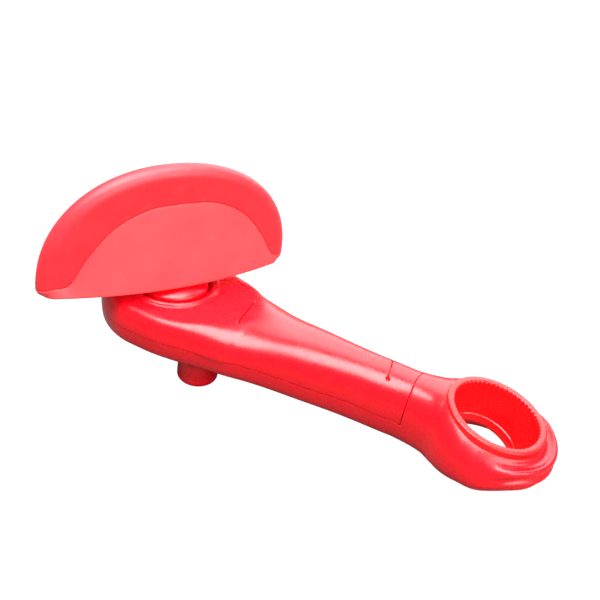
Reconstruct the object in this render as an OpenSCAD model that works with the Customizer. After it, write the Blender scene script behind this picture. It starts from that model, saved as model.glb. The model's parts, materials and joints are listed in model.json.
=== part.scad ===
// Manual can opener with a half-disc turning knob, a gear-driven feed wheel, a cutting wheel
// on a turning post, and a ribbed cap ring at the end of the handle.
// The parts are drawn with the knob's axis along Z and the top of the head at Z = 0, then
// rest_pose() leans the whole opener onto its post and the end of its handle.

/* [Body] */
// Radius of the round head
head_r = 34.5; // [33:0.5:36]
// Distance from the knob's axis to the centre of the cap ring
reach = 166; // [160:1:172]
// Outer radius of the ring end
ring_end_r = 27.5; // [27:0.5:29]
// Thickness of the moulded walls
wall = 2.2; // [2:0.1:2.6]

/* [Cap ring] */
// Radius of the ring's mouth
mouth_r = 18.6; // [18:0.1:19]
// Radius of the ring's plain land, at its narrow end
land_r = 14.4; // [14:0.1:15]
// Outer radius of the raised lip
lip_r = 21.4; // [21:0.1:22]
// Height of the ring's centre above the top of the head
ring_z = 11.6; // [11:0.1:12]
// Lean of the ring's axis towards the end of the handle
ring_lean = 8; // [6:0.5:10]
// Number of grip ribs round the bore
rib_count = 56; // [40:2:64]

/* [Knob] */
// Half the length of the knob
knob_half = 64; // [60:0.5:66]
// Height of the knob's top above the head
knob_top = 63; // [58:0.5:66]
// Half the thickness of the knob at its base
knob_half_t = 13.2; // [12:0.1:14]
// Direction that the knob points in
knob_angle = 63.5; // [0:0.5:180]
// How far the knob sits off its axis along its length
knob_shift = -2.5; // [-3:0.5:0]

/* [Mechanism] */
// Distance of the cutting post from the knob's axis, along the handle
turret_x = 28; // [27:0.5:29]
// Distance of the cutting post from the knob's axis, across the handle
turret_y = -12; // [-13:0.5:-11]
// Teeth on the knob's gear and on the clutch gear
big_teeth = 20; // [20]
// Teeth on the drive gear
small_teeth = 12; // [12]
// Distance of the cutting wheel's pin from the post's axis
cutter_offset = 3; // [2.8:0.1:3]
// Radius of the cutting wheel
cutter_r = 8.5; // [8.3:0.1:8.6]
// Radius of the feed wheel
feed_r = 5; // [4.8:0.1:5]

/* [Hidden] */
$fn = 64;

red = "#e3242b";
soft_red = "#e8404a";
pale_red = "#f29a94";
zinc = "#b9bcc0";
acetal = "#f2efe6";
eps = 0.01;

// Body outline along X: half width, and the heights of the crown, the side seam and the underside
width_line = [[0, head_r], [26, 31], [50, 24.5], [85, 17.2], [112, 13.8], [130, 13.4], [142, 17],
    [150, 22], [158, 26], [reach, ring_end_r]];
crown_line = [[0, 0], [20, 0.8], [45, 3.2], [80, 5.8], [117, 8], [134, 9.2], [146, 11.5], [158, 10.5],
    [reach, 9], [reach + ring_end_r, 4]];
seam_line = [[0, -11], [50, -10], [86, -8.7], [110, -7], [132, -5.8], [150, -5], [reach, -4],
    [reach + ring_end_r, -2]];
under_line = [[0, -23], [40, -22.6], [70, -21.4], [100, -19.9], [126, -18.4], [146, -15.2],
    [reach, -12.8], [reach + ring_end_r, -11.8]];
head_round = 3.2;
under_round = 5;
end_round = 2.6;
tip_z = -11;
end_z = -2;
seam_step = 0.4;
cover_end = 131;
joint_gap = 0.05;

// Heights inside the head
floor_z = -23;
floor_in = -20.6;
recess_z = -2.5;
recess_r = 18.2;
bush_top = -7.5;
boss_top = -15.6;
turret_boss_top = -17.4;
boss_r = 7.6;
small_boss_r = 5.2;
bush_r = 5.5;
small_bush_r = 3.6;
turret_bush_r = 8.5;
guide_stem_r = 2.4;
bush_flange = 0.8;
gear_low = -14.5;
gear_high = -8.5;
plate_t = 1;
post_bottom = -37;
post_r = 10;
post_top = floor_z - plate_t - 0.3;

// Knob and its domed hub. The arch is the joint between the knob's core and its grip.
knob_base = 4.7;
knob_corner = 4;
arch_line = [[0, 45.6], [17, 44], [33, 36.2], [45, 23], [53, 10.7], [60, 9.4], [80, 7.2]];
hub_r = 17.3;
hub_rim = 0.6;
hub_top = 4;
hub_dome = (pow(hub_r, 2) + pow(hub_top - hub_rim, 2)) / 2 / (hub_top - hub_rim);

// Shafts and their running clearance
fit = 0.04;
shaft_r = 4;
spindle_r = 2.5;
axle_r = 2;
neck_r = 7;

// Gears
gear_module = 1;
pressure = 25;
backlash = 0.12;
centre = gear_module * (big_teeth + small_teeth) / 2;
turret_d = norm([turret_x, turret_y]);
drive_dir = atan2(turret_y, turret_x) - acos(turret_d / 2 / centre);
drive_x = centre * cos(drive_dir);
drive_y = centre * sin(drive_dir);
clutch_dir = atan2(turret_y - drive_y, turret_x - drive_x);
drive_phase = drive_dir + 180 + 180 / small_teeth;
clutch_phase = clutch_dir + 180 + 180 / big_teeth
    + (clutch_dir - drive_phase) * small_teeth / big_teeth;

// Turning post: the cutting wheel meets the feed wheel after a turn of turret_travel
turret_travel = 100;
cutter_dir = clutch_dir + 180 - turret_travel;
pin_x = cutter_offset * cos(cutter_dir);
pin_y = cutter_offset * sin(cutter_dir);
cutter_z = floor_z - 6.7;
wheel_low = floor_z - 4.6;
shaft_low = floor_z - 3;
axle_top = floor_z - 3.6;
turret_low = floor_z - 10;
below = floor_z - 4;
cutter_t = 1;
pocket_gap = 0.5;
flange_r = 9.4;
lug_r = 12.6;
lug_dir = -95;
lug_half = 14;

// Rest: the post and the underside of the ring end touch the table
rest_x = reach + 17;
rest_z = -12.4;
toe_r = 8;
lean = atan((rest_z - post_bottom) / (rest_x - turret_x - toe_r));
guide_x = 22;
guide_y = 17;
guide_r = 5;
toe_line = post_bottom * cos(lean) - (turret_x + toe_r) * sin(lean);
guide_bottom = (toe_line + (guide_x + guide_r - 1) * sin(lean)) / cos(lean);
middle_x = ((reach + ring_end_r - head_r) * cos(lean) + (end_z + tip_z) * sin(lean)) / 2;
middle_y = knob_shift * sin(knob_angle);

body_screw_at = [[-15.5, 0, -3.5], [52, 0, 2.4], [112, 0, 6.2]];
plate_screw_at = [[-7, -13], [20, 4]];

// Smooth curve through a list of [x, value] points
function place(p, x, i = 0) = i >= len(p) - 2 || x < p[i + 1][0] ? i : place(p, x, i + 1);
function slope(p, i) = let (a = max(i - 1, 0), b = min(i + 1, len(p) - 1))
    (p[b][1] - p[a][1]) / (p[b][0] - p[a][0]);
function curve(p, x) = let (i = place(p, x), h = p[i + 1][0] - p[i][0],
    t = min(max((x - p[i][0]) / h, 0), 1))
    p[i][1] * (1 + 2 * t) * pow(1 - t, 2) + slope(p, i) * h * t * pow(1 - t, 2)
    + p[i + 1][1] * t * t * (3 - 2 * t) - slope(p, i + 1) * h * t * t * (1 - t);
function signed_pow(v, e) = sign(v) * pow(abs(v), e);

// One cross-section of the body, drawn in by inset
function section(x, inset, sides) = let (
    tip = x < 0, end = x > reach,
    far_r = (tip ? head_r : ring_end_r) - inset,
    out = tip ? -x / far_r : end ? (x - reach) / far_r : 0,
    along = min(max(x, 0), 60) / 60,
    top_n = head_round - 0.7 * along,
    under_n = under_round - 2.2 * along,
    fade = pow(max(1 - pow(min(out, 1), end_round), 0), 1 / end_round),
    w = tip || end ? far_r * sqrt(max(1 - out * out, 0)) : curve(width_line, x) - inset,
    mid = curve(seam_line, x),
    up = (curve(crown_line, x) - inset - mid) * fade,
    down = (mid - curve(under_line, x) - inset) * fade)
    [for (j = [0:sides - 1]) let (a = 360 * j / sides, c = cos(a), s = sin(a),
        n = s > 0 ? top_n : under_n)
        [x, w * signed_pow(c, 2 / n), mid + (s > 0 ? up : down) * signed_pow(s, 2 / n)]];

module loft(rings) {
    n = len(rings);
    m = len(rings[0]);
    polyhedron(points = [for (r = rings) each r], faces = concat(
        [[for (j = [0:m - 1]) j]],
        [for (i = [0:n - 2]) for (j = [0:m - 1]) let (k = (j + 1) % m)
            each [[i * m + j, (i + 1) * m + k, i * m + k],
                [i * m + j, (i + 1) * m + j, (i + 1) * m + k]]],
        [[for (j = [m - 1:-1:0]) (n - 1) * m + j]]));
}

module body_solid(inset, last) {
    tip_r = head_r - inset;
    end_r = ring_end_r - inset;
    xs = concat([for (a = [8, 20, 34, 48, 62, 76, 90]) -tip_r * cos(a)],
        [for (x = [10:10:160]) if (x < last - 1) x],
        last < reach ? [last] : [for (a = [0, 15, 30, 45, 60, 72, 82]) reach + end_r * sin(a)]);
    loft([for (x = xs) section(x, inset, 28)]);
}

// Everything above the side seam, up to the cover's cross seam
module cover_region(gap) {
    xs = [-40, 0, 20, 40, 60, 80, 100, 116, cover_end - gap];
    translate([0, 50, 0]) rotate([90, 0, 0]) linear_extrude(100)
        polygon(concat([for (x = xs) [x, curve(seam_line, x) + seam_step + gap]],
            [[cover_end - gap, 30], [-40, 30]]));
}

// Leans the opener onto the table and centres it on the origin
module rest_pose() {
    translate([-middle_x, -middle_y, -toe_line]) rotate([0, lean, 0]) children();
}

module tube(low, high, outer, inner) {
    translate([0, 0, low]) difference() {
        cylinder(h = high - low, r = outer);
        translate([0, 0, -1]) cylinder(h = high - low + 2, r = inner);
    }
}

module rod(low, high, r) {
    translate([0, 0, low]) cylinder(h = high - low, r = r);
}

module at_drive() { translate([drive_x, drive_y, 0]) children(); }
module at_turret() { translate([turret_x, turret_y, 0]) children(); }
module at_pin() { at_turret() translate([pin_x, pin_y, 0]) children(); }
module in_ring() { translate([reach, 0, ring_z]) rotate([0, ring_lean, 0]) children(); }

module upper_cover() {
    slit_at = [[43.5, 3.4], [117, 7.5]];
    color(red) rest_pose() difference() {
        union() {
            intersection() {
                difference() {
                    body_solid(0, reach + 1);
                    body_solid(wall, cover_end + 20);
                }
                cover_region(joint_gap);
            }
            rod(recess_z - wall, -1, recess_r + wall);
            translate([0, 0, -0.2]) rotate_extrude() translate([21.2, 0]) circle(r = 1.7);
            rod(bush_top, recess_z, boss_r);
            at_drive() rod(-6, -1, small_boss_r);
            for (p = body_screw_at)
                translate([p[0], p[1], 0]) rod(curve(seam_line, p[0]) + 0.5, p[2], 3.2);
        }
        rod(recess_z, 5, recess_r);
        rod(bush_top - 0.5, 0, bush_r);
        at_drive() rod(-7, -3.4, small_bush_r);
        for (p = body_screw_at)
            translate([p[0], p[1], 0]) rod(curve(seam_line, p[0]) - 1, p[2] - 1, 1.3);
        for (s = slit_at)
            translate([s[0] - 0.3, -10, s[1] - 0.8]) cube([0.6, 20, 3]);
    }
}

module lower_body() {
    color(red) rest_pose() difference() {
        union() {
            difference() {
                body_solid(0, reach + 1);
                body_solid(wall, cover_end + 5);
                cover_region(0);
            }
            rod(floor_in - 1.2, boss_top, boss_r);
            at_drive() rod(floor_in - 1.2, boss_top, small_boss_r);
            at_turret() rod(floor_in - 1.2, turret_boss_top, 9.2);
            translate([guide_x, guide_y, 0]) rod(floor_in - 1.2, -15, 4.4);
            for (p = body_screw_at)
                translate([p[0], p[1], 0])
                    rod(curve(under_line, p[0]) + 0.8, curve(seam_line, p[0]) + 0.3, 3.4);
            turret_stops();
        }
        rod(below, -10, bush_r);
        at_drive() rod(below, -10, small_bush_r);
        at_turret() rod(below, -10, turret_bush_r);
        translate([guide_x, guide_y, 0]) rod(below, -16, guide_stem_r);
        for (p = body_screw_at)
            translate([p[0], p[1], 0]) {
                rod(below, 0, 1.7);
                rod(below, curve(under_line, p[0]) + 2.4, 3);
            }
        for (p = plate_screw_at)
            translate([p[0], p[1], 0]) rod(below, floor_z + 1.9, 0.9);
        in_ring() {
            rod(-40, 30, 17.4);
            translate([0, 0, -20.5]) cylinder(h = 21, r1 = 17.4, r2 = lip_r - 1.4);
            rod(-3.5, 30, lip_r + 0.05);
        }
    }
}

// Two ribs on the floor that the post's lug meets at the ends of its turn
module turret_stops() {
    rib_half = 7;
    for (a = [lug_dir - lug_half - rib_half - 2, lug_dir + turret_travel + lug_half + rib_half + 2])
        at_turret() rotate(a) intersection() {
            difference() {
                rod(floor_in - 1, -15.2, lug_r + 0.6);
                rod(floor_in - 2, -15, flange_r + 0.5);
            }
            translate([0, 0, floor_in - 1.5]) linear_extrude(8)
                polygon([[0, 0], [20, -20 * tan(rib_half)], [20, 20 * tan(rib_half)]]);
        }
}

module cap_ring() {
    depth = 19.1;
    rib_r = 0.55;
    color(pale_red) rest_pose() in_ring() difference() {
        union() {
            translate([0, 0, -20.4]) cylinder(h = 20.4, r1 = 17.3, r2 = lip_r - 1.5);
            rod(-3.4, -0.6, lip_r);
            translate([0, 0, -0.6]) cylinder(h = 0.6, r1 = lip_r, r2 = lip_r - 0.6);
        }
        rod(-30, 10, land_r);
        translate([0, 0, -depth + 3.4])
            cylinder(h = depth - 3.4 + eps, r1 = land_r + 0.6, r2 = mouth_r - rib_r);
        for (i = [0:rib_count - 1])
            rotate(360 * i / rib_count) translate([mouth_r - rib_r - 0.1, 0, 0.2])
                rotate([0, atan((mouth_r - land_r - 1.1) / (depth - 3.4)), 0])
                    translate([0, 0, -depth + 4]) cylinder(h = depth - 3.4, r = rib_r);
    }
}

module guide_post() {
    color(red) rest_pose() translate([guide_x, guide_y, 0]) {
        rod(guide_bottom + 1, floor_z, guide_r);
        translate([0, 0, guide_bottom]) cylinder(h = 1, r1 = guide_r - 1, r2 = guide_r);
        rod(floor_z - eps, -16.5, guide_stem_r);
    }
}

module bearing_plate() {
    low = floor_z - plate_t;
    color(zinc) rest_pose() difference() {
        translate([0, 0, low]) linear_extrude(plate_t) hull() {
            for (p = [[0, 0, 9], [turret_x, turret_y, 11.4], [-7, -13, 4], [20, 4, 4]])
                translate([p[0], p[1]]) circle(r = p[2]);
        }
        rod(low - 1, 0, 5.6);
        at_drive() rod(low - 1, 0, 3.7);
        at_turret() rod(low - 1, 0, 8.6);
        translate([guide_x, guide_y, 0]) rod(low - 1, 0, guide_r + 0.4);
        for (p = plate_screw_at)
            translate([p[0], p[1], 0]) rod(low - 1, 0, 1.1);
    }
}

// Plain flanged bearing, its flange at the end given by flange_low
module bush(low, high, outer, bore, flange, flange_low) {
    difference() {
        union() {
            rod(low, high, outer);
            rod(flange_low, flange_low + bush_flange, flange);
        }
        rod(low - 1, high + 1, bore);
    }
}

module shaft_bush_upper() {
    color(acetal) rest_pose() bush(bush_top, recess_z + bush_flange, bush_r, shaft_r + fit, 7, recess_z);
}

module shaft_bush_lower() {
    color(acetal) rest_pose() bush(floor_z, boss_top + bush_flange, bush_r, shaft_r + fit, 7, boss_top);
}

module spindle_bush_upper() {
    color(acetal) rest_pose() at_drive() bush(-6.8, -3.4, small_bush_r, spindle_r + fit, 4.8, -6.8);
}

module spindle_bush_lower() {
    color(acetal) rest_pose() at_drive()
        bush(floor_z, boss_top + bush_flange, small_bush_r, spindle_r + fit, 4.8, boss_top);
}

module turret_bush() {
    color(acetal) rest_pose() at_turret()
        bush(floor_z, turret_boss_top + bush_flange, turret_bush_r, neck_r + fit, 9.1, turret_boss_top);
}

// Pan head screw that points up, the underside of its head at seat_z
module screw(seat_z, cap_r, cap_h, shank_r, length) {
    difference() {
        union() {
            rod(seat_z - cap_h, seat_z, cap_r);
            rod(seat_z - eps, seat_z + length, shank_r);
        }
        translate([-cap_r * 0.62, -0.4, seat_z - cap_h - 0.1]) cube([cap_r * 1.24, 0.8, cap_h * 0.6]);
        translate([-0.4, -cap_r * 0.62, seat_z - cap_h - 0.1]) cube([0.8, cap_r * 1.24, cap_h * 0.6]);
    }
}

module plate_screws() {
    color(zinc) rest_pose() for (p = plate_screw_at)
        translate([p[0], p[1], 0]) screw(floor_z - plate_t, 2, 0.9, 0.9, plate_t + 1.6);
}

module body_screws() {
    color(zinc) rest_pose() for (p = body_screw_at)
        translate([p[0], p[1], 0]) screw(curve(under_line, p[0]) + 2.4, 2.7, 1.6, 1.3,
            curve(seam_line, p[0]) - curve(under_line, p[0]) + 1.4);
}

// Knob: a half disc whose footprint is a lens
function knob_ring(t, sides) = let (
    z = knob_base + (knob_top - knob_base) * t,
    low = max(1 - (z - knob_base) / knob_corner, 0),
    u = knob_half * pow(1 - pow(t, 2.1), 1 / 2.1) - knob_corner * (1 - sqrt(1 - low * low)),
    v = knob_half_t * (1 - 0.62 * pow(t, 0.8)) * pow(1 - pow(t, 6), 1 / 2.5))
    [for (j = [0:sides - 1]) let (a = -360 * j / sides, c = cos(a), s = sin(a))
        [u * c, v * s * pow(abs(s), 0.35), z]];

module knob_solid() {
    levels = [0, 0.009, 0.026, 0.069, 0.2, 0.34, 0.48, 0.62, 0.74, 0.84, 0.92, 0.97, 0.992];
    difference() {
        translate([knob_shift, 0, 0]) loft([for (t = levels) knob_ring(t, 40)]);
        translate([0, 0, hub_top + 0.5 - hub_dome]) sphere(r = hub_dome, $fn = 120);
    }
}

module under_arch() {
    us = [for (u = [0:5:75]) u];
    translate([0, 30, 0]) rotate([90, 0, 0]) linear_extrude(60)
        polygon(concat([for (u = us) [u, curve(arch_line, u)]], [[75, -5], [-75, -5]],
            [for (i = [len(us) - 1:-1:1]) [-us[i], curve(arch_line, us[i])]]));
}

module knob_core() {
    color(soft_red) rest_pose() rotate(knob_angle) difference() {
        intersection() {
            knob_solid();
            under_arch();
        }
        rod(0, 26, shaft_r);
    }
}

module knob_grip() {
    color(soft_red) rest_pose() rotate(knob_angle) difference() {
        knob_solid();
        under_arch();
    }
}

module knob_hub() {
    color(red) rest_pose() difference() {
        union() {
            rod(recess_z + 1, hub_rim, hub_r);
            intersection() {
                rod(hub_rim - 0.5, hub_top + 1, hub_r);
                translate([0, 0, hub_top - hub_dome]) sphere(r = hub_dome, $fn = 120);
            }
        }
        rod(-5, 8, shaft_r);
    }
}

module knob_shaft() {
    color(zinc) rest_pose() difference() {
        rod(floor_z + 0.6, 26, shaft_r);
        rod(floor_z, -11, 1.5);
    }
}

module knob_screw() {
    color(zinc) rest_pose() screw(floor_z, 3.6, 1.4, 1.5, 9);
}

module gear_washer() {
    color(zinc) rest_pose() tube(floor_z, floor_z + 0.6, 3.9, 1.6);
}

// Involute gear. The flanks start at the base circle and run to the tip circle.
module spur_gear(teeth, bore, phase, low, high) {
    pitch_r = gear_module * teeth / 2;
    base_r = pitch_r * cos(pressure);
    tip_r = pitch_r + 0.9 * gear_module;
    root_r = pitch_r - 1.2 * gear_module;
    involute_at = tan(pressure) * 180 / PI - pressure;
    half_tooth = 90 / teeth - backlash / 2 / pitch_r * 180 / PI;
    function flank(r) = let (a = acos(min(base_r / r, 1)))
        half_tooth + involute_at - (tan(a) * 180 / PI - a);
    start_r = max(base_r, root_r + 0.05);
    rs = [for (i = [0:4]) start_r + (tip_r - start_r) * i / 4];
    rotate(phase) translate([0, 0, low]) difference() {
        linear_extrude(high - low) polygon([for (i = [0:teeth - 1]) let (a = 360 * i / teeth) each concat(
            [root_r * [cos(a - flank(start_r)), sin(a - flank(start_r))]],
            [for (r = rs) r * [cos(a - flank(r)), sin(a - flank(r))]],
            [for (k = [4:-1:0]) rs[k] * [cos(a + flank(rs[k])), sin(a + flank(rs[k]))]],
            [root_r * [cos(a + flank(start_r)), sin(a + flank(start_r))]])]);
        translate([0, 0, -1]) cylinder(h = high - low + 2, r = bore);
    }
}

module knob_gear() {
    color(acetal) rest_pose() spur_gear(big_teeth, shaft_r, drive_dir, gear_low, gear_high);
}

module drive_gear() {
    color(zinc) rest_pose() at_drive()
        spur_gear(small_teeth, spindle_r, drive_phase, gear_low, gear_high);
}

module clutch_gear() {
    color(acetal) rest_pose() at_turret()
        spur_gear(big_teeth, shaft_r + fit, clutch_phase, gear_low, gear_high);
}

module drive_spindle() {
    color(zinc) rest_pose() at_drive() difference() {
        union() {
            rod(wheel_low - 0.2, -4, spindle_r);
            rod(wheel_low - 0.6, wheel_low, 3.4);
        }
        tube(-8, -7.4, spindle_r + 1, spindle_r - 0.5);
    }
}

module drive_wheel() {
    teeth = 20;
    color(zinc) rest_pose() at_drive() difference() {
        rod(wheel_low, post_top, feed_r);
        rod(wheel_low - 1, 0, spindle_r);
        for (i = [0:teeth - 1])
            rotate(360 * i / teeth) translate([feed_r + 0.15, 0, wheel_low - 0.5])
                rotate(45) translate([-0.4, -0.4, 0]) cube([0.8, 0.8, 5]);
    }
}

// Open retaining ring
module clip(low, high, outer, inner, mouth) {
    difference() {
        tube(low, high, outer, inner);
        translate([0, -mouth / 2, low - 1]) cube([outer + 1, mouth, high - low + 2]);
    }
}

module spindle_clip() {
    color(zinc) rest_pose() at_drive() clip(-8, -7.4, 4.2, spindle_r - 0.5, 2.4);
}

module cutter_turret() {
    color(red) rest_pose() at_turret() difference() {
        union() {
            rod(turret_low, post_top, post_r);
            rod(post_top - eps, -16.5, neck_r);
            rod(-16.5, gear_low - 0.1, flange_r);
            rotate(lug_dir) translate([0, 0, -16.3]) linear_extrude(1.1)
                polygon([[0, 0], for (a = [-lug_half:lug_half / 2:lug_half]) lug_r * [cos(a), sin(a)]]);
        }
        rod(shaft_low, 0, shaft_r);
        translate([pin_x, pin_y, 0]) {
            rod(turret_low - 1, axle_top, axle_r);
            rod(cutter_z - pocket_gap, cutter_z + cutter_t + pocket_gap, cutter_r + 0.4);
        }
    }
}

module turret_cap() {
    edge = 2.2;
    color(red) rest_pose() at_turret() rotate_extrude()
        polygon(concat([[0, post_bottom]],
            [for (a = [0:15:90]) [post_r - edge + edge * sin(a), post_bottom + edge - edge * cos(a)]],
            [[post_r, turret_low - 0.2], [post_r - 0.2, turret_low], [0, turret_low]]));
}

module turret_shaft() {
    color(zinc) rest_pose() at_turret() difference() {
        rod(shaft_low, -5.4, shaft_r);
        tube(-7, -6.4, shaft_r + 1, shaft_r - 0.6);
    }
}

module turret_clip() {
    color(zinc) rest_pose() at_turret() clip(-7, -6.4, 6.2, shaft_r - 0.6, 3.4);
}

module wave_washer() {
    color(zinc) rest_pose() at_turret() tube(-8.3, -7.05, 6.6, shaft_r + 0.02);
}

module cutter_axle() {
    color(zinc) rest_pose() at_pin() rod(turret_low, axle_top, axle_r);
}

module cutter_wheel() {
    edge = 1.6;
    color(zinc) rest_pose() at_pin() rotate_extrude() polygon([[axle_r + fit, cutter_z],
        [cutter_r - edge, cutter_z], [cutter_r, cutter_z + cutter_t / 2],
        [cutter_r - edge, cutter_z + cutter_t], [axle_r + fit, cutter_z + cutter_t]]);
}

upper_cover();
lower_body();
cap_ring();
guide_post();
bearing_plate();
shaft_bush_upper();
shaft_bush_lower();
spindle_bush_upper();
spindle_bush_lower();
turret_bush();
plate_screws();
body_screws();
knob_core();
knob_grip();
knob_hub();
knob_shaft();
knob_gear();
knob_screw();
gear_washer();
drive_spindle();
drive_gear();
drive_wheel();
spindle_clip();
clutch_gear();
cutter_turret();
turret_cap();
turret_shaft();
wave_washer();
turret_clip();
cutter_axle();
cutter_wheel();
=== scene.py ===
"""The look of the manual can opener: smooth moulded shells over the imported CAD, with procedural
plastic, soft-touch and metal finishes, in soft white studio light."""

import json
import math

import bmesh
import bpy
import numpy as np
from mathutils import Matrix, Vector


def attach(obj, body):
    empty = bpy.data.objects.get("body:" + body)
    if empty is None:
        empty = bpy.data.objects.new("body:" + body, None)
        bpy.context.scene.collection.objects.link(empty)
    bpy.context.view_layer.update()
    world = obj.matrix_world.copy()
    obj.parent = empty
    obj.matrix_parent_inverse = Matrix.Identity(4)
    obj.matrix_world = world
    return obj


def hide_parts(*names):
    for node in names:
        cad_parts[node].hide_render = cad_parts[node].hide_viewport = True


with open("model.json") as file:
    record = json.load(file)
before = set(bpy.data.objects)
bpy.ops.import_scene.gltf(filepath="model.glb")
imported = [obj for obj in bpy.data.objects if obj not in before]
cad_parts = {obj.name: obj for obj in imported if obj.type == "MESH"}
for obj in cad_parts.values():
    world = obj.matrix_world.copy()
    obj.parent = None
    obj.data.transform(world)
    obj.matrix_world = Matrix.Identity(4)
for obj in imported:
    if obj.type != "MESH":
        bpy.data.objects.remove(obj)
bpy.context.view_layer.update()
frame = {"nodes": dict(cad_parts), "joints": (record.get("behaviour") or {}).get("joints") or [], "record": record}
CAD = frame["nodes"]

# ---------------------------------------------------------------- working frame, in millimetres
# Z is the knob's axis with the head's top at 0, and X points along the handle to the cap ring.
JOINTS = {j["name"]: j for j in frame["joints"]}
AXIS = Vector(JOINTS["knob_spin"]["axis"]).normalized()
TURN = np.array([(AXIS.z, 0, -AXIS.x), (0, 1, 0), tuple(AXIS)])
ORIGIN = np.array(JOINTS["knob_spin"]["pos_m"])
MM = 0.001


def to_row(points):
    return np.asarray(points, float).reshape(-1, 3) * MM @ TURN + ORIGIN


def to_work(point_m):
    return (np.asarray(point_m, float) - ORIGIN) @ TURN.T / MM


TURRET = to_work(JOINTS["turret_turn"]["pos_m"])[:2]

HEAD_R, END_R = 34.5, 27.5  # radius of the head, and of the handle's end round the ring
REACH = 166.0  # from the head's middle to the ring's
RING_Z, RING_LEAN = 11.6, math.radians(8)  # height of the ring's lip, and its slope down to the far end
HOLE_R = 23.4  # where the head's top meets the collar
LIP_R, LIP_HIDE = 21.4, 20.5  # the ring's lip, and where the shell starts under it
LIP_PROUD, LIP_MORE = 0.5, 2.0  # the lip above the shell at the handle, and what is added at its widest
HOLE_FOOT, HOLE_BACK = 20.4, 3.1  # the ring's hole at the underside, and how far back its middle lies
FLARE, FLARE_X, HOLE_WALL = 3.1, 163.2, 6.0  # the hole's wall: how far it closes in, its middle, its height
COVER_END = 131.0  # the cross seam, where the ring's end begins
SEAM_HALF = 14  # the handle's half width there, to the nearest whole number

# Along the handle, as (x, value): half width, top of the crown, parting line, underside, how far in from
# the side the top rounds over, and the exponents of the two halves' rounded sections.
WIDTH = [(0, HEAD_R), (14, 33.6), (26, 31), (40, 27), (50, 24.5), (60, 21.6), (70, 19.5), (85, 17.2),
         (100, 15), (112, 13.8), (123, 13.3), (130, 13.4), (142, 17), (150, 22), (158, 26), (REACH, END_R)]
CROWN = [(0, 0), (18, 0.1), (26, 0.8), (45, 3.1), (62, 4.3), (80, 6.6), (117, 9.6), (COVER_END, 10.8),
         (140, 12.3), (146, 14.0), (REACH, 14.2)]
SEAM = [(0, -11), (50, -10), (86, -8.7), (110, -7), (132, -5.8), (150, -5), (REACH, -4.4)]
UNDER = [(0, -23), (40, -22.6), (70, -21.4), (100, -19.9), (126, -18.4), (146, -15.2), (REACH, -12.8)]
EDGE = [(0, 5.5), (26, 7.5), (38, 13), (52, 24), (70, 26), (COVER_END, 26), (146, 26), (REACH, END_R)]
TOP_N = [(0, 2.2), (38, 2.3), (50, 2.6), (COVER_END, 2.6), (REACH, 2.5)]
UNDER_N = [(0, 5), (60, 4.2), (126, 3.5), (REACH, 2.8)]
TOP_ROWS, UNDER_ROWS = 50, 56
ROLL = 0.13  # half the width of a parting line
SEAM_ROOM = 0.35  # no other rows lie nearer to a parting line than this
DRAFT = 0.0028  # the lower wall narrows by this share a millimetre

# Grooves across the top, as (middle, slant, near end, far end), with a small pit at the near end
SLITS = [(43.8, -0.22, -10.1, 11.2), (118.4, -0.26, -7.5, 6.4)]
SLIT_DEPTH, SLIT_HALF, SLIT_WALL = 1.8, 0.13, 0.2  # its depth, half its floor's width, and its wall's width
PIT_DEPTH, PIT_R, PIT_WALL = 2.0, 0.5, 0.4
SLIT_ZONE, SLANT_FADE = 1.2, 9  # the sections this near are slanted fully, and those beyond it less and less
SLANT_REACH = 12  # no more slant farther than this from the handle's middle
SLIT_STEPS = (0, 0.12, 0.2, 0.28, 0.36, 0.6, 1.1)  # the sections beside a groove's middle


def curve(table, x):
    """Smooth curve through a list of (x, value) points."""
    xs, ys = np.array(table, float).T
    slope = np.empty_like(ys)
    slope[1:-1] = (ys[2:] - ys[:-2]) / (xs[2:] - xs[:-2])
    slope[0], slope[-1] = (ys[1] - ys[0]) / (xs[1] - xs[0]), (ys[-1] - ys[-2]) / (xs[-1] - xs[-2])
    i = int(np.clip(np.searchsorted(xs, x, side="right") - 1, 0, len(xs) - 2))
    h = xs[i + 1] - xs[i]
    t = min(max((x - xs[i]) / h, 0), 1)
    return (ys[i] * (1 + 2 * t) * (1 - t) ** 2 + slope[i] * h * t * (1 - t) ** 2
            + ys[i + 1] * t * t * (3 - 2 * t) - slope[i + 1] * h * t * t * (1 - t))


def smooth(t):
    t = np.clip(t, 0, 1)
    return t * t * (3 - 2 * t)


def bulge(out, n):
    """Height of a rounded section, from 1 in its middle (out 0) to 0 at its side (out 1)."""
    return (1 - out**n) ** (1 / n)


def resample(line, count):
    """The polyline at equal steps of its length."""
    line = np.asarray(line, float)
    run = np.r_[0, np.cumsum(np.linalg.norm(np.diff(line, axis=0), axis=1))]
    s = np.linspace(0, run[-1], count)
    return np.column_stack([np.interp(s, run, line[:, k]) for k in range(line.shape[1])])


def rounded(points, per=8):
    """A Catmull-Rom curve through the points."""
    p = np.array(points, float)
    p = np.vstack([2 * p[0] - p[1], p, 2 * p[-1] - p[-2]])
    t = np.linspace(0, 1, per, endpoint=False)[:, None]
    parts = [0.5 * (2 * b + (c - a) * t + (2 * a - 5 * b + 4 * c - d) * t**2
                    + (3 * b - a - 3 * c + d) * t**3) for a, b, c, d in zip(p, p[1:], p[2:], p[3:])]
    return np.vstack(parts + [p[-2:-1]])


# ---------------------------------------------------------------- meshes
def grid_faces(rows, cols, offset=0, wrap=False):
    last = cols if wrap else cols - 1
    return [(offset + i * cols + j, offset + i * cols + (j + 1) % cols,
             offset + (i + 1) * cols + (j + 1) % cols, offset + (i + 1) * cols + j)
            for i in range(rows - 1) for j in range(last)]


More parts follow.
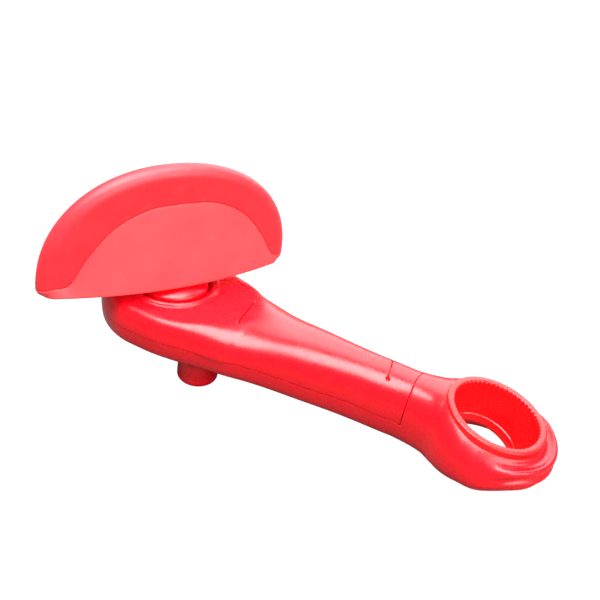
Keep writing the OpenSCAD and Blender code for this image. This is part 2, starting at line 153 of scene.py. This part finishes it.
def piece(name, grids, body, material, nodes, sharp=35, wrap=False):
    """One mesh from grids of points in the working frame. It rides on body and stands for nodes."""
    points, faces = [], []
    for g in grids:
        g = np.asarray(g, float)
        faces += grid_faces(g.shape[0], g.shape[1], sum(len(p) for p in points), wrap)
        points.append(g.reshape(-1, 3))
    mesh = bpy.data.meshes.new(name)
    mesh.from_pydata(to_row(np.vstack(points)).tolist(), [], faces)
    bm = bmesh.new()
    bm.from_mesh(mesh)
    bmesh.ops.remove_doubles(bm, verts=bm.verts, dist=2e-6)
    bmesh.ops.dissolve_degenerate(bm, edges=bm.edges, dist=1e-6)
    bmesh.ops.recalc_face_normals(bm, faces=bm.faces)
    bm.to_mesh(mesh)
    bm.free()
    mesh.shade_smooth()
    mesh.set_sharp_from_angle(angle=math.radians(sharp))
    mesh.materials.append(material)
    obj = bpy.data.objects.new(name, mesh)
    bpy.context.scene.collection.objects.link(obj)
    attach(obj, body)
    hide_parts(*nodes)


def lathe(profile, centre=(0, 0), sides=128):
    """A grid turned about Z through centre, from (radius, height) points."""
    a = np.linspace(0, 2 * math.pi, sides, endpoint=False)
    return np.array([[(centre[0] + r * math.cos(t), centre[1] + r * math.sin(t), z) for t in a]
                     for r, z in profile])


def ring_to_work(points):
    p = np.asarray(points, float)
    c, s = math.cos(RING_LEAN), math.sin(RING_LEAN)
    return np.stack([REACH + p[..., 0] * c + p[..., 2] * s, p[..., 1],
                     RING_Z - p[..., 0] * s + p[..., 2] * c], -1)


# ---------------------------------------------------------------- materials
def node(tree, kind, links=None, **props):
    n = tree.nodes.new(kind)
    for k, v in props.items():
        setattr(n, k, v)
    for k, v in (links or {}).items():
        socket = n.inputs[k]
        if isinstance(v, bpy.types.NodeSocket):
            tree.links.new(v, socket)
        else:
            socket.default_value = v
    return n


def noise(tree, vector, scale, detail=3, rough=0.55):
    return node(tree, "ShaderNodeTexNoise", {"Vector": vector, "Scale": scale, "Detail": detail,
                                             "Roughness": rough}).outputs["Fac"]


def spread(tree, value, low, high, at=(0.3, 0.7)):
    return node(tree, "ShaderNodeMapRange", {"Value": value, "From Min": at[0], "From Max": at[1],
                                             "To Min": low, "To Max": high}).outputs["Result"]


def blend(tree, factor, a, b):
    mix = tree.nodes.new("ShaderNodeMix")
    mix.data_type = "RGBA"
    for name, v in (("Factor", factor), ("A", a), ("B", b)):
        socket = next(s for s in mix.inputs if s.name == name and s.enabled)
        if isinstance(v, bpy.types.NodeSocket):
            tree.links.new(v, socket)
        else:
            socket.default_value = v
    return next(s for s in mix.outputs if s.enabled)


def finish(name, colours, rough, bumps, stretch=(1, 1, 1), scratches=0.0, dust=0.0, **fixed):
    """Procedural finish. colours: two colours mixed slowly; rough: (low, high); bumps: list of
    (features per metre, height in mm); fixed: constants on the shader."""
    m = bpy.data.materials.new(name)
    m.use_nodes = True
    t = m.node_tree
    shader = t.nodes["Principled BSDF"]
    place = node(t, "ShaderNodeMapping", {"Vector": t.nodes.new("ShaderNodeTexCoord").outputs["Object"],
                                          "Scale": stretch}).outputs["Vector"]
    a, b = [(*c, 1) for c in colours]
    slow = noise(t, place, 55, 2)
    fine = noise(t, place, 900, 3)
    colour = blend(t, spread(t, slow, 0, 1), a, b)
    dusty = spread(t, noise(t, place, 210, 5, 0.7), 0, dust, (0.56, 0.8))
    colour = blend(t, dusty, colour, (*[0.5 + 0.5 * c for c in colours[0]], 1))
    t.links.new(colour, shader.inputs["Base Color"])
    r = spread(t, noise(t, place, 160, 4), rough[0], rough[1])
    r = node(t, "ShaderNodeMath", {0: r, 1: spread(t, fine, -0.02, 0.03)}, operation="ADD").outputs[0]
    if scratches:
        thin = node(t, "ShaderNodeMapping", {"Vector": place, "Rotation": (0.3, 0.5, 0.9),
                                             "Scale": (25, 2600, 2600)}).outputs["Vector"]
        mark = spread(t, noise(t, thin, 1, 1), 0, scratches, (0.66, 0.74))
        r = node(t, "ShaderNodeMath", {0: r, 1: mark}, operation="ADD", use_clamp=True).outputs[0]
    t.links.new(r, shader.inputs["Roughness"])
    normal = None
    for scale, height in bumps:
        links = {"Height": noise(t, place, scale, 3), "Strength": 1.0, "Distance": height * MM}
        if normal is not None:
            links["Normal"] = normal
        normal = node(t, "ShaderNodeBump", links).outputs["Normal"]
    t.links.new(normal, shader.inputs["Normal"])
    for key, v in fixed.items():
        shader.inputs[key.replace("_", " ")].default_value = v
    return m


GLOSS = finish("gloss_red", [(0.76, 0.001, 0.008), (0.80, 0.002, 0.011)], (0.24, 0.31),
               [(520, 0.006), (3200, 0.001)], scratches=0.10, dust=0.01)
SATIN = finish("satin_red", [(0.92, 0.050, 0.060), (0.96, 0.062, 0.070)], (0.40, 0.50),
               [(1400, 0.008), (5200, 0.003)], dust=0.04, Sheen_Weight=0.08, Sheen_Roughness=0.4)
SOFT = finish("soft_red", [(0.86, 0.014, 0.024), (0.90, 0.020, 0.032)], (0.42, 0.52),
              [(2200, 0.008), (6500, 0.004)], dust=0.05, Sheen_Weight=0.10, Sheen_Roughness=0.45)
PALE = finish("pale_red", [(0.74, 0.003, 0.005), (0.78, 0.006, 0.009)], (0.20, 0.28),
              [(700, 0.005), (3200, 0.0012)], scratches=0.1, dust=0.015)
ACETAL = finish("acetal", [(0.84, 0.82, 0.76), (0.87, 0.86, 0.81)], (0.30, 0.42),
                [(900, 0.006), (4200, 0.002)], dust=0.05)
STEEL = finish("steel", [(0.56, 0.56, 0.57), (0.63, 0.63, 0.64)], (0.24, 0.38),
               [(420, 0.006), (2600, 0.002)], stretch=(1, 1, 6), scratches=0.18, Metallic=1.0)
BLADE = finish("blade_steel", [(0.62, 0.62, 0.63), (0.70, 0.70, 0.71)], (0.16, 0.30),
               [(600, 0.003), (3600, 0.0015)], stretch=(5, 5, 1), scratches=0.15, Metallic=1.0)


# ---------------------------------------------------------------- moulded body
def top_line(x):
    """Half of the section's top from its start to the seam, as (y, z): flat, then rounded over."""
    w, mid = curve(WIDTH, x), curve(SEAM, x)
    n, edge = curve(TOP_N, x), min(curve(EDGE, x), curve(WIDTH, x))
    crease = w - edge
    start = math.sqrt(max(HOLE_R**2 - x * x, 0))
    up = curve(CROWN, x) - mid
    far = LIP_HIDE**2 - (x - REACH) ** 2
    if far > -1e-9:
        start = math.sqrt(max(far, 0))
        out = max(start - crease, 0) / edge
        lip = RING_Z - (x - REACH) * math.tan(RING_LEAN)
        proud = LIP_PROUD + LIP_MORE * smooth((x - REACH + LIP_HIDE) / LIP_HIDE)
        up = (lip - proud - mid) / bulge(out, n)
    y = np.r_[np.linspace(start, max(crease, start), 40)[:-1],
              crease + edge * np.sin(np.linspace(0, math.pi / 2, 240)) ** (2 / n)]
    y = y[y >= start - 1e-9]
    out = np.clip((y - crease) / edge, 0, 1)
    z = mid + up * bulge(out, n)
    line = np.column_stack([np.r_[start, y], np.r_[z[0], z]])
    return line[line[:, 1] >= mid + SEAM_ROOM]


def under_line(x):
    """Half of the section from the seam down to the middle of the underside."""
    w, mid = curve(WIDTH, x), curve(SEAM, x)
    n, down = curve(UNDER_N, x), curve(SEAM, x) - curve(UNDER, x)
    a = np.linspace(0, math.pi / 2, 300)
    y, z = w * np.cos(a) ** (2 / n), mid - down * np.sin(a) ** (2 / n)
    y *= 1 - DRAFT * (mid - z)
    from_hole = x - (REACH - HOLE_BACK)
    stop = math.sqrt(max(HOLE_FOOT**2 - from_hole**2, 0)) if from_hole > -HOLE_FOOT else 0.0
    keep = (z <= mid - SEAM_ROOM) & (y >= stop)
    return np.vstack([np.column_stack([y, z])[keep], [(stop, curve(UNDER, x))]])


def seam_rows(w, mid, side, rolled):
    """Rows beside the parting line; rolled in where it is open."""
    if rolled:
        rows = [(w - 0.05, 0.20), (w - 0.2, ROLL), (w - 1.2, ROLL - 0.02)]
    else:
        rows = [(w, 0.2), (w, 0.1), (w, 0.0)]
    return [(y, mid + side * z) for y, z in rows]


def plain_column(x, rolled):
    """Half of the body's section at x, as the part above the parting line and the part below it."""
    w, mid = curve(WIDTH, x), curve(SEAM, x)
    top = np.vstack([resample(top_line(x), TOP_ROWS), seam_rows(w, mid, 1, rolled)])
    under = np.vstack([seam_rows(w, mid, -1, rolled)[::-1], resample(under_line(x), UNDER_ROWS)])
    return top, under


# Outline of the ring's far end, as (radius, height from the lip)
TERRACES = [(20.5, -2.9), (21.4, -3.3), (22.5, -4.6), (24.2, -4.5), (25.6, -3.7), (26.7, -3.9),
            (27.2, -4.9), (26.7, -6.2), (25.9, -7.1), (26.3, -8.2), (27.2, -8.9), (27.4, -9.8),
            (26.9, -10.8), (25.5, -11.6), (25.1, -12.4), (25.5, -13.3), (25.4, -14.3), (24.6, -15.5),
            (22.6, -17.3), (20.2, -18.4), (18, -18.8)]
TERRACE_R, TERRACE_SPLIT = 27.4, 9.8  # radius and depth of the point where its upper and lower parts meet
TERRACE_FROM, TERRACE_OVER = math.radians(86), math.radians(44)  # where the terraces fade in
FOOT_LINE = -8  # below this the plain end runs in to the hole


def ring_column(theta):
    """Half section in the direction theta round the ring's centre: terraced at the far end."""
    top, under = plain_column(REACH, False)
    lean = math.tan(RING_LEAN) * math.cos(theta)
    full = np.vstack([top, under[1:]])
    r, z = full[:, 0], full[:, 1]
    bottom = -HOLE_BACK * math.cos(theta) + math.sqrt(HOLE_FOOT**2 - (HOLE_BACK * math.sin(theta)) ** 2)
    inner = math.sqrt(HOLE_FOOT**2 - HOLE_BACK**2)
    r = np.where(z < FOOT_LINE, END_R + (r - END_R) * (END_R - bottom) / (END_R - inner), r)
    ramp = (z - z.min()) / (z.max() - z.min())
    plain = np.column_stack([r, z - lean * r * ramp + (1 - ramp) * max(math.cos(theta), 0)])
    line = rounded(TERRACES)
    line = np.column_stack([line[:, 0], RING_Z - lean * line[:, 0] + line[:, 1]])
    split = int(np.argmin(np.abs(line[:, 1] - (RING_Z - lean * TERRACE_R - TERRACE_SPLIT))))
    a, b = resample(line[: split + 1], len(top)), resample(line[split:], len(under))
    terraced = np.vstack([a, b[1:]])
    terraced[-1, 0] = bottom
    mix = smooth((TERRACE_FROM - theta) / TERRACE_OVER)
    out = plain * (1 - mix) + terraced * mix
    return out[: len(top)], out[len(top) - 1:]


def lay(column, x, direction=None, centre=0.0):
    """Section points (y, z) placed in space at x, or as radii along a direction."""
    y, z = column[:, 0], column[:, 1]
    if direction is None:
        return np.column_stack([np.full_like(y, x), y, z])
    return np.column_stack([centre + y * math.cos(direction), y * math.sin(direction), z])


BOW, BOW_FROM, BOW_TO, BOW_FADE = 1.4, 112, 152, 15  # how far the cross seam bows, and where it does
NECK_W = 13.3  # about the handle's least half width


def bowed(points):
    """The cover's cross seam is slightly bowed towards the ring."""
    p = points.copy()
    fade = smooth((p[:, 0] - BOW_FROM) / BOW_FADE) * smooth((BOW_TO - p[:, 0]) / BOW_FADE)
    p[:, 0] += BOW * (p[:, 1] / NECK_W) ** 2 * fade
    return p


def slit(points):
    """Cuts the grooves and their pits into the cover's top."""
    p = points.copy()
    for middle, slant, near, far in SLITS:
        off = p[:, 0] - middle
        y = p[:, 1].copy()
        fade = 1 - smooth((np.abs(off) - SLIT_ZONE) / SLANT_FADE)
        p[:, 0] += slant * np.clip(y, -SLANT_REACH, SLANT_REACH) * fade
        across = 1 - smooth((np.abs(off) - SLIT_HALF) / SLIT_WALL)
        along = smooth((y - near) / 0.7) * smooth((far - y) / 1.6)
        pit = 1 - smooth((np.hypot(off, y - near - 0.6) - PIT_R) / PIT_WALL)
        p[:, 2] -= np.maximum(SLIT_DEPTH * across * along, PIT_DEPTH * pit) * (p[:, 2] > -2)
    return p


def both(columns, shape=lambda p: p):
    """The columns of one side and their mirror image, as two grids."""
    near = [shape(bowed(c * (1, -1, 1))) for c in columns]
    return [np.array([shape(bowed(c)) for c in columns]), np.array(near)]


def body_columns():
    """Places of the cover's sections along the handle: closer together beside each groove."""
    xs = {round(HOLE_R * math.sin(math.radians(a)), 4) for a in range(6, 91, 6)}
    xs |= {float(x) for x in range(24, int(COVER_END))}
    xs = {x for x in xs if all(abs(x - s[0]) > SLIT_ZONE for s in SLITS)}
    xs |= {s[0] + side * d for s in SLITS for side in (-1, 1) for d in SLIT_STEPS}
    return sorted(xs)


def hole_wall(under, side):
    """Wall of the ring's hole above the underside, closing in as it rises."""
    edge = [c[-1] for c in under if c[-1][1] > 0.5 and c[-1][0] > 140] + [under[-1][-1]]
    edge = np.array(edge) * (1, side, 1)
    rise = np.array([math.sin(RING_LEAN), 0, math.cos(RING_LEAN)]) * HOLE_WALL
    outward = (edge - (FLARE_X, 0, 0)) * (1, 1, 0)
    outward /= np.linalg.norm(outward, axis=1)[:, None]
    return np.array([edge + rise * t - outward * FLARE * smooth(t * 1.6)
                     for t in (0, 0.1, 0.2, 0.35, 0.5, 0.65, 0.8, 1)])


def build_body():
    tips = [math.radians(a) for a in np.linspace(180, 90, 34)]
    before = [x for x in body_columns() if x < COVER_END - 0.5] + [COVER_END - SEAM_ROOM]
    after = [COVER_END + SEAM_ROOM] + list(np.arange(132, 145.4, 0.8)) \
        + [REACH - LIP_HIDE * math.cos(math.radians(a)) for a in np.linspace(2, 90, 34)]
    ends = [math.radians(a) for a in np.linspace(90, 0, 46)[1:]]
    head_top, head_under = plain_column(0, True)

    # The cover and the ring's end both roll in at the cross seam: (distance from it, share drawn in).
    rolls = [(0.20, 0.05 / SEAM_HALF), (ROLL, 0.2 / SEAM_HALF), (ROLL - 0.02, 1.2 / SEAM_HALF)]
    last, first = plain_column(COVER_END, True)[0], plain_column(COVER_END, False)[0]
    cover = [lay(head_top, 0, a) for a in tips] + [lay(plain_column(x, True)[0], x) for x in before]
    cover += [lay(last * (1 - share), COVER_END - gap) for gap, share in rolls]
    ring = [lay(first * (1 - share), COVER_END + gap) for gap, share in reversed(rolls)]
    under = [lay(head_under, 0, a) for a in tips] + [lay(plain_column(x, True)[1], x) for x in before]
    for x in after:
        top, low = plain_column(x, False)
        ring.append(lay(top, x))
        under.append(lay(low, x))
    for a in ends:
        top, low = ring_column(a)
        ring.append(lay(top, 0, a, REACH))
        under.append(lay(low, 0, a, REACH))

    walls = [hole_wall(under, 1), hole_wall(under, -1)]
    piece("cover_shell", both(cover, slit), "housing", GLOSS, ["upper_cover"], sharp=50)
    piece("body_shell", both(under) + both(ring) + walls, "housing", GLOSS, ["lower_body"],
          sharp=50)


build_body()

# ---------------------------------------------------------------- collar, hub, cap ring
COLLAR = [(23.9, -0.9), (23.7, 0.05), (23.3, 0.12), (22.9, 0.45), (22.5, 1.0), (22.0, 1.38),
          (21.4, 1.5), (20.8, 1.35), (20.3, 0.9), (19.9, 0.45), (19.4, -0.1), (18.9, -0.7),
          (18.55, -1.2), (18.4, -1.8), (18.4, -2.3), (18.2, -2.5), (16.5, -2.5)]
piece("collar", [lathe(rounded(COLLAR, 4), sides=192)], "housing", GLOSS, ["upper_cover"],
      wrap=True)

HUB_R, HUB_RIM, HUB_TOP = 17.29, 0.2, 4.3
hub_line = [(HUB_R * math.sin(a) + 0.01, HUB_RIM + (HUB_TOP - HUB_RIM) * math.cos(a))
            for a in np.linspace(0, math.pi / 2, 48)] + [(HUB_R + 0.01, -1.5)]
piece("hub_dome", [lathe(hub_line, sides=160)], "knob", GLOSS, ["knob_hub"], wrap=True)


RIBS, RIB_HEIGHT = 56, 0.55
MOUTH_R, NARROW_R, LAND_R = 18.6, 15.0, 14.4  # the taper's two ends and the plain land below it
STEP, RING_FOOT = 15.7, -20.4  # depth where the taper ends, and height of the ring's lower face


def cap_ring_grid(per=10):
    """Lip, ribbed taper and plain land, turned about the ring's axis."""
    lip = [(LIP_R, -4.6), (LIP_R, -0.7), (21.3, -0.35), (21.05, -0.1), (20.7, 0.0), (19.6, 0.0),
           (18.9, 0.0), (18.72, -0.04), (MOUTH_R, -0.18)]
    taper = [(MOUTH_R + (NARROW_R - MOUTH_R) * d / STEP, -d) for d in np.linspace(0.5, STEP, 26)]
    land = [(14.9, -STEP - 0.12), (14.5, -STEP - 0.2), (LAND_R, -STEP - 0.4), (LAND_R, -19.1),
            (LAND_R, -20.1), (14.6, -20.35), (14.9, RING_FOOT), (17.3, RING_FOOT), (17.3, -18)]
    a = np.linspace(0, 2 * math.pi, RIBS * per, endpoint=False)
    wave = np.abs(np.cos(a * RIBS / 2)) ** 0.7
    rows = []
    for r, z in lip + taper + land:
        inside = r < 18.85 and z > -STEP - 0.01
        reach = smooth((-z + 0.02) / 0.5) * (1 - 0.85 * smooth((-z - 1.5) / 5)) if inside else 0.0
        reach *= 1 - smooth((-z - 12) / 3)
        rr = r - RIB_HEIGHT * reach * wave + 0.1 * reach
        rows.append(np.column_stack([rr * np.cos(a), rr * np.sin(a), np.full_like(a, z)]))
    return ring_to_work(np.array(rows))


piece("cap_ring_insert", [cap_ring_grid()], "housing", PALE, ["cap_ring"], sharp=55, wrap=True)

# ---------------------------------------------------------------- knob
KNOB_HALF, KNOB_TOP, KNOB_BASE, KNOB_TURN = 63.9, 62.8, 4.7, math.radians(63.5)
KNOB_SHIFT = -2.5  # the outline sits this far off the axis, along the knob
KNOB_N = 2.16  # exponent of its outline
CORNER, RIM = 4.0, 5.2  # radius of the lower corners, and how far in the faces round over
THIN, THICK = (5.464, 0.000352), (13.2, 0.002367)  # half thickness at the joint and the base: a - b * u * u
ARCH = [(0, 45.6), (17, 44), (33, 36.2), (45, 23), (53, 10.7), (60, 9.4), (80, 7.2)]


def arch(u):
    """Joint between the knob's core and its grip."""
    return curve(ARCH, abs(u))


def knob_top(u):
    low = KNOB_BASE + CORNER
    return low + (KNOB_TOP - low) * bulge(np.clip(np.abs(u) / KNOB_HALF, 0, 1), KNOB_N)


def knob_outline():
    """Places along the knob, with its lower and upper edge at each."""
    u = KNOB_HALF * np.sin(np.linspace(-math.pi / 2, math.pi / 2, 241))
    low = np.clip((np.abs(u) - (KNOB_HALF - CORNER)) / CORNER, 0, 1)
    return u, KNOB_BASE + CORNER * (1 - np.sqrt(1 - low**2)), knob_top(u)


def knob_rim():
    """The outline's upper edge and its two lower corners, as fine points."""
    u = KNOB_HALF * np.sin(np.linspace(-math.pi / 2, math.pi / 2, 1601))
    bend = np.linspace(0.1, 1.2, 12)
    ends = KNOB_HALF - CORNER * (1 - np.cos(bend))
    corners = np.tile(KNOB_BASE + CORNER * (1 - np.sin(bend)), 2)
    return np.r_[u, ends, -ends], np.r_[knob_top(u), corners]


def knob_half_thickness(u, z, groove, rim):
    """Thickest at the base, thinner towards the arch, and rounded over near the rim."""
    thin, thick = (a - b * u * u for a, b in (THIN, THICK))
    t = np.clip((z - KNOB_BASE) / (groove - KNOB_BASE), 0, 1)
    d = np.sqrt((rim[0][None, :] - u) ** 2 + (rim[1][None, :] - z[:, None]) ** 2).min(1)
    out = 1 - np.clip(d / RIM, 0, 1)
    return (thick + (thin - thick) * t) * np.sqrt(np.clip(1 - out**2.1, 0, 1))


def grip_column(u, base, top, groove, rim):
    """Half section of the grip at u, from the joint up; it rolls in at the joint."""
    z = groove + 0.5 + (top - groove - 0.5) * np.sin(np.linspace(0, math.pi / 2, 60)) ** 1.1
    z = np.clip(np.r_[[groove + 0.2, groove + 0.22, groove + 0.3], z], base, top)
    inset = np.r_[[1.2, 0.25, 0.06], np.zeros(len(z) - 3)]
    v = np.maximum(knob_half_thickness(u, z, groove, rim) - inset, 0)
    v[-1] = 0
    return np.column_stack([np.full_like(z, u + KNOB_SHIFT), v, z])


def core_column(u, base, top, groove, rim):
    """Half section of the core at u, from the middle of its base up to the joint."""
    z = base + 0.8 + (groove - 0.5 - base - 0.8) * np.linspace(0, 1, 44)
    z = np.clip(np.r_[[base, base, base, base + 0.06, base + 0.24, base + 0.5], z,
                      [groove - 0.3, groove - 0.22, groove - 0.2, groove + 0.4]], base, top)
    inset = np.r_[[0, 0, 0.8, 0.46, 0.2, 0.05], np.zeros(len(z) - 10), [0.06, 0.25, 1.2, 1.25]]
    v = np.maximum(knob_half_thickness(u, z, max(groove, KNOB_BASE + 1), rim) - inset, 0)
    v[0], v[1] = 0, v[2] / 2
    return np.column_stack([np.full_like(z, u + KNOB_SHIFT), v, z])


def build_knob():
    rim = knob_rim()
    core, grip = [], []
    for u, base, top in zip(*knob_outline()):
        groove = min(max(arch(u + KNOB_SHIFT), base), top)
        grip.append(grip_column(u, base, top, groove, rim))
        core.append(core_column(u, base, top, groove, rim))

    def turned(columns, side):
        p = np.array(columns) * (1, side, 1)
        c, s = math.cos(KNOB_TURN), math.sin(KNOB_TURN)
        return np.stack([p[..., 0] * c - p[..., 1] * s, p[..., 0] * s + p[..., 1] * c, p[..., 2]], -1)

    piece("knob_blade_core", [turned(core, 1), turned(core, -1)], "knob", SATIN, ["knob_core"],
          sharp=40)
    piece("knob_soft_grip", [turned(grip, 1), turned(grip, -1)], "knob", SOFT, ["knob_grip"],
          sharp=40)


build_knob()

# ---------------------------------------------------------------- cutting post
POST_BOTTOM, POST_R, POST_ROUND = -37.0, 10.0, 2.4
CAP_TOP = -33.0  # where the cap meets the turning post
cap_line = [(0.01, POST_BOTTOM), (5.5, POST_BOTTOM), (7.6, POST_BOTTOM + 0.05)]
cap_line += [(POST_R - POST_ROUND + POST_ROUND * math.sin(a), POST_BOTTOM + POST_ROUND * (1 - math.cos(a)))
             for a in np.linspace(0.15, math.pi / 2, 14)]
cap_line += [(POST_R, CAP_TOP - 0.5), (POST_R - 0.06, CAP_TOP - 0.2), (POST_R - 0.25, CAP_TOP - 0.05),
             (POST_R - 1.5, CAP_TOP - 0.02)]
piece("post_cap", [lathe(cap_line, TURRET, 128)], "turret", GLOSS, ["turret_cap"], wrap=True)

# ---------------------------------------------------------------- finishes and soft edges of the CAD nodes
BEVEL = 0.12 * MM
IN_BODY_COLOUR = ("turret_bush", "bearing_plate")
RED_ACETAL = finish("acetal_red", [(0.62, 0.003, 0.010), (0.68, 0.005, 0.014)], (0.28, 0.38),
                    [(900, 0.006), (4200, 0.002)], dust=0.02)
LOOK = {"gloss_red": GLOSS, "satin_red": SATIN, "soft_red": SOFT, "pale_red": PALE, "acetal": ACETAL,
        "steel": STEEL, "blade_steel": BLADE}
for part in frame["record"]["subparts"]:
    obj = CAD[part["node"]]
    obj.data.materials.clear()
    obj.data.materials.append(RED_ACETAL if part["node"] in IN_BODY_COLOUR else LOOK[part["material_slot"]])
    obj.data.shade_smooth()
    obj.data.set_sharp_from_angle(angle=math.radians(28))
    bevel = obj.modifiers.new("soft_edges", "BEVEL")
    bevel.width = BEVEL
    bevel.segments = 2
    bevel.limit_method = "ANGLE"
    bevel.angle_limit = math.radians(40)

# ---------------------------------------------------------------- camera, floor and light
SCENE = bpy.context.scene
camera = bpy.data.objects.new("camera", bpy.data.cameras.new("camera"))
SCENE.collection.objects.link(camera)
camera.data.lens, camera.data.sensor_width = 42, 36
camera.data.clip_start, camera.data.clip_end = 0.01, 60
# The camera's place and its right, down and forward directions, in the working frame
CAMERA_AT = (182.64, -241.78, 183.5)
RIGHT, DOWN, FORWARD = (0.84871, 0.5035, 0.16181), (0.38654, -0.38173, -0.83956), (-0.36095, 0.77509, -0.5186)
aim = np.array([RIGHT, [-v for v in DOWN], [-v for v in FORWARD]]) @ TURN
camera.matrix_world = Matrix.Translation(to_row(CAMERA_AT)[0]) @ Matrix(aim.tolist()).transposed().to_4x4()
SCENE.camera = camera

floor_mesh = bpy.data.meshes.new("floor")
FLOOR = 12  # half its side, in metres
floor_mesh.from_pydata([(-FLOOR, -FLOOR, 0), (FLOOR, -FLOOR, 0), (FLOOR, FLOOR, 0), (-FLOOR, FLOOR, 0)], [],
                       [(0, 1, 2, 3)])
floor = bpy.data.objects.new("floor", floor_mesh)
SCENE.collection.objects.link(floor)
paper = bpy.data.materials.new("paper")
paper.use_nodes = True
shader = paper.node_tree.nodes["Principled BSDF"]
shader.inputs["Base Color"].default_value = (0.10, 0.10, 0.10, 1)
shader.inputs["Roughness"].default_value = 0.9
shader.inputs["Emission Color"].default_value = (1, 1, 1, 1)
seen = paper.node_tree.nodes.new("ShaderNodeLightPath").outputs["Is Camera Ray"]
paper.node_tree.links.new(seen, shader.inputs["Emission Strength"])
floor_mesh.materials.append(paper)

world = bpy.data.worlds.new("studio")
world.use_nodes = True
world.node_tree.nodes["Background"].inputs["Color"].default_value = (1, 1, 1, 1)
sky = world.node_tree
lit = sky.nodes.new("ShaderNodeLightPath").outputs["Is Camera Ray"]
lit = spread(sky, lit, 0.30, 1.0, (0, 1))  # plain white behind the floor's edge
sky.links.new(lit, sky.nodes["Background"].inputs["Strength"])
SCENE.world = world
SCENE.view_settings.view_transform = "Standard"


MIDDLE = (0, 0, 0.03)


def softbox(name, where, size, radiance):
    """An area light, in metres, that faces the opener; its brightness doesn't depend on its size."""
    light = bpy.data.lights.new(name, "AREA")
    light.shape, light.size, light.size_y = "RECTANGLE", size[0], size[1]
    light.energy = radiance * math.pi * size[0] * size[1]
    obj = bpy.data.objects.new(name, light)
    SCENE.collection.objects.link(obj)
    obj.location = where
    obj.rotation_euler = (Vector(MIDDLE) - Vector(where)).to_track_quat("-Z", "Y").to_euler()


softbox("key_softbox", (0.08, -0.10, 1.0), (0.95, 0.9), 13.0)
softbox("back_softbox", (-0.14, 1.16, 0.78), (1.6, 1.1), 3.4)
softbox("side_softbox", (1.0, -0.28, 0.54), (1.1, 0.7), 6.0)
